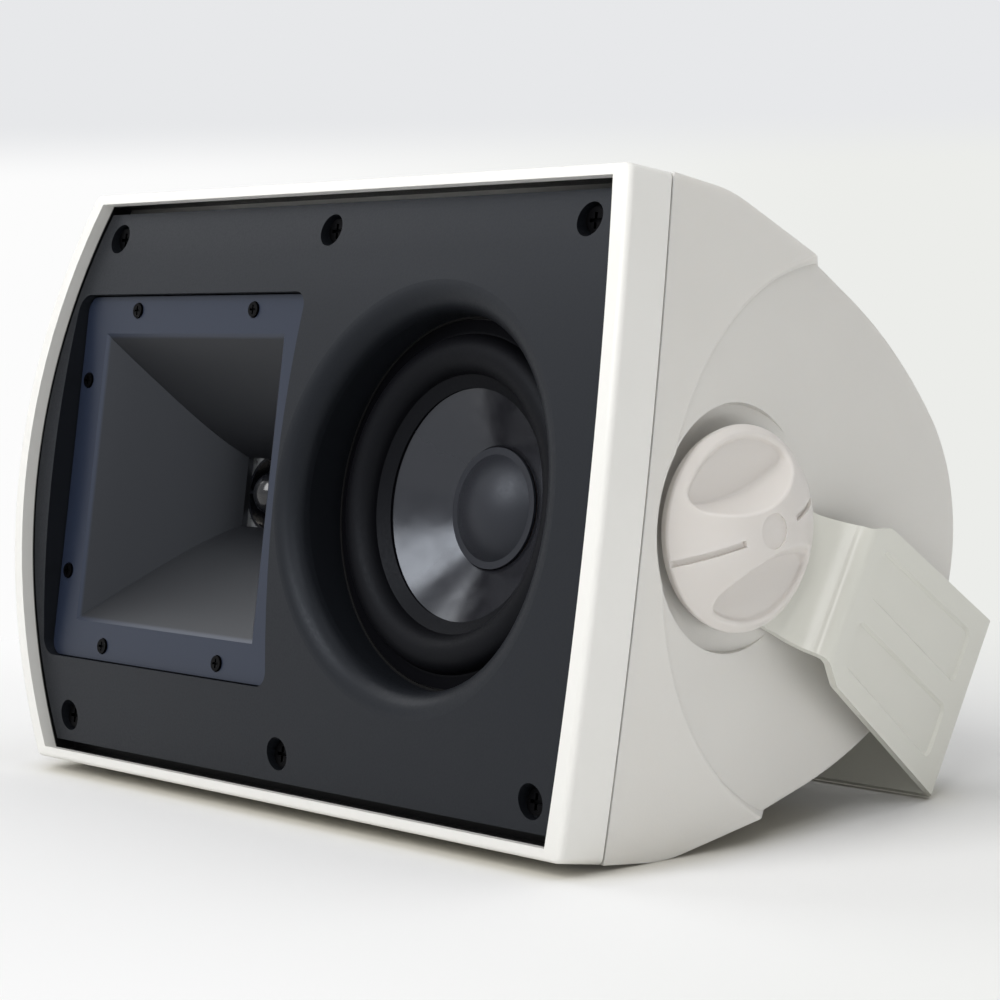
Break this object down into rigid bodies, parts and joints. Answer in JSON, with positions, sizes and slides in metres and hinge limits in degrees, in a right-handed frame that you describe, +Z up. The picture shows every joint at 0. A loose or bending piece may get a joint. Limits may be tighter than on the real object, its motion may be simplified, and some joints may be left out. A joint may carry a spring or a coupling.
{
  "type": "outdoor patio speaker",
  "caption": "Drum-backed patio speaker with a square horn and a woofer on a bulged face, clamped by hand knobs between the arms of a bent steel wall bracket.",
  "frame": {"origin": "centre of the bounding box's bottom, on the table that the speaker stands on", "axes": "+X to the speaker's right as seen from the front, along the clamp axis; +Y to the back; +Z up"},
  "size_m": [0.3118, 0.1895, 0.1921],
  "materials": {
    "bezel_plastic": "moulded white plastic, fine satin",
    "housing_plastic": "moulded warm white plastic, fine grain",
    "knob_plastic": "moulded warm white plastic, satin",
    "bracket_paint": "powder coat on bent sheet steel, semi-gloss",
    "baffle_plastic": "moulded charcoal plastic, satin",
    "horn_plastic": "moulded charcoal plastic, satin",
    "plug_plastic": "glossy black plastic",
    "cone_plastic": "polished graphite-filled plastic",
    "cap_plastic": "soft matte black",
    "surround_rubber": "moulded rubber",
    "foam": "closed-cell foam strip",
    "black_screw": "blackened steel",
    "plain_steel": "zinc-plated steel",
    "basket_paint": "black paint on pressed steel",
    "ferrite": "sintered ferrite",
    "diaphragm_foil": "formed foil",
    "spider_cloth": "resin-stiffened cloth",
    "copper": "enamelled copper wire",
    "brass": "turned brass",
    "cup_plastic": "moulded black plastic",
    "red_plastic": "moulded red plastic",
    "black_plastic": "moulded black plastic",
    "board_laminate": "glass-filled laminate",
    "film_capacitor": "dipped film",
    "ceramic": "cement-filled ceramic",
    "lead_insulation": "soft insulation",
    "washer_rubber": "hard rubber",
    "washer_nylon": "nylon"
  },
  "bodies": {
    "cabinet": {"rear_housing": "housing_plastic", "front_bezel": "bezel_plastic", "baffle_gasket": "foam", "baffle": "baffle_plastic", "baffle_screws": "black_screw", "horn": "horn_plastic", "horn_gasket": "foam", "horn_screws": "black_screw", "driver_front_plate": "plain_steel", "phase_plug": "plug_plastic", "driver_diaphragm": "diaphragm_foil", "driver_top_plate": "plain_steel", "driver_magnet": "ferrite", "driver_back_plate": "plain_steel", "driver_screws": "plain_steel", "woofer_basket": "basket_paint", "woofer_gasket": "foam", "woofer_surround": "surround_rubber", "woofer_cone": "cone_plastic", "dust_cap": "cap_plastic", "woofer_spider": "spider_cloth", "voice_coil": "copper", "woofer_top_plate": "plain_steel", "woofer_magnet": "ferrite", "woofer_back_plate": "plain_steel", "woofer_screws": "plain_steel", "terminal_cup": "cup_plastic", "terminal_screws": "black_screw", "binding_posts": "brass", "terminal_nuts": "brass", "crossover_board": "board_laminate", "crossover_screws": "plain_steel", "crossover_inductors": "copper", "crossover_capacitors": "film_capacitor", "crossover_resistors": "ceramic", "input_leads": "lead_insulation", "woofer_leads": "lead_insulation", "driver_leads": "lead_insulation", "clamp_inserts": "brass", "friction_washers": "washer_rubber"},
    "bracket": {"bracket": "bracket_paint"},
    "right_washer": {"right_thrust_washer": "washer_nylon"},
    "left_washer": {"left_thrust_washer": "washer_nylon"},
    "right_knob": {"right_knob": "knob_plastic", "right_knob_stud": "plain_steel"},
    "left_knob": {"left_knob": "knob_plastic", "left_knob_stud": "plain_steel"},
    "black_cap": {"black_post_cap": "black_plastic"},
    "red_cap": {"red_post_cap": "red_plastic"}
  },
  "joints": [
    {"name": "bracket_pivot", "type": "hinge", "parent": "cabinet", "child": "bracket", "pos_m": [0, -0.03544, 0.09138], "axis": [1, 0, 0], "range_deg": [-22, 60]},
    {"name": "right_knob_feed", "type": "slide", "parent": "cabinet", "child": "right_washer", "axis": [1, 0, 0], "range_m": [0, 0.0025]},
    {"name": "right_knob_turn", "type": "hinge", "parent": "right_washer", "child": "right_knob", "pos_m": [0.1395, -0.03544, 0.09138], "axis": [1, 0, 0], "range_deg": [0, 724]},
    {"name": "left_knob_feed", "type": "slide", "parent": "cabinet", "child": "left_washer", "axis": [-1, 0, 0], "range_m": [0, 0.0025]},
    {"name": "left_knob_turn", "type": "hinge", "parent": "left_washer", "child": "left_knob", "pos_m": [-0.1395, -0.03544, 0.09138], "axis": [-1, 0, 0], "range_deg": [0, 724]},
    {"name": "black_cap_turn", "type": "hinge", "parent": "cabinet", "child": "black_cap", "pos_m": [-0.00953, 0.05878, 0.07583], "axis": [0, 0.9867, -0.1628], "continuous": true},
    {"name": "red_cap_turn", "type": "hinge", "parent": "cabinet", "child": "red_cap", "pos_m": [0.00953, 0.05878, 0.07583], "axis": [0, 0.9867, -0.1628], "continuous": true}
  ],
  "couplings": [
    {"joint": "right_knob_turn", "follows": "right_knob_feed", "rad_per_m": 5026.5},
    {"joint": "left_knob_turn", "follows": "left_knob_feed", "rad_per_m": 5026.5}
  ]
}
